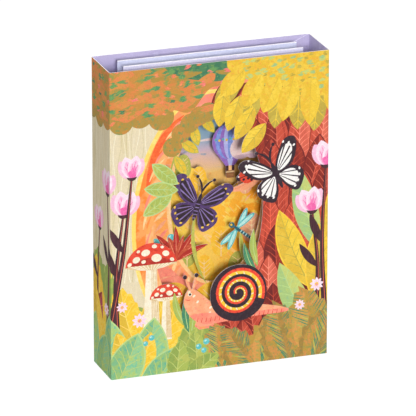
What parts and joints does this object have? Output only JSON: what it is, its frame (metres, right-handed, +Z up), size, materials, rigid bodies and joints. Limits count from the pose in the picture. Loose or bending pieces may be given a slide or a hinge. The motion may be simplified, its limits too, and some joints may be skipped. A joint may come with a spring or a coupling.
{
  "type": "pop up card",
  "caption": "Upright pop up scene card: a shallow open-ended printed board tube with a die-cut window and layered die-cut scene sheets glued inside.",
  "frame": {"origin": "middle of the base, on the surface that the card stands on", "axes": "+Z up, -Y out of the printed front with the window, +X to the right as seen from the front"},
  "size_m": [0.127, 0.0316, 0.178],
  "materials": {
    "cover_board": "matte printed card, plain lavender inside",
    "scene_board": "matte printed card, plain lilac at the back"
  },
  "bodies": {
    "root": {"folded_cover": "cover_board", "arch_sheet": "scene_board", "hill_sheet": "scene_board"}
  },
  "joints": []
}
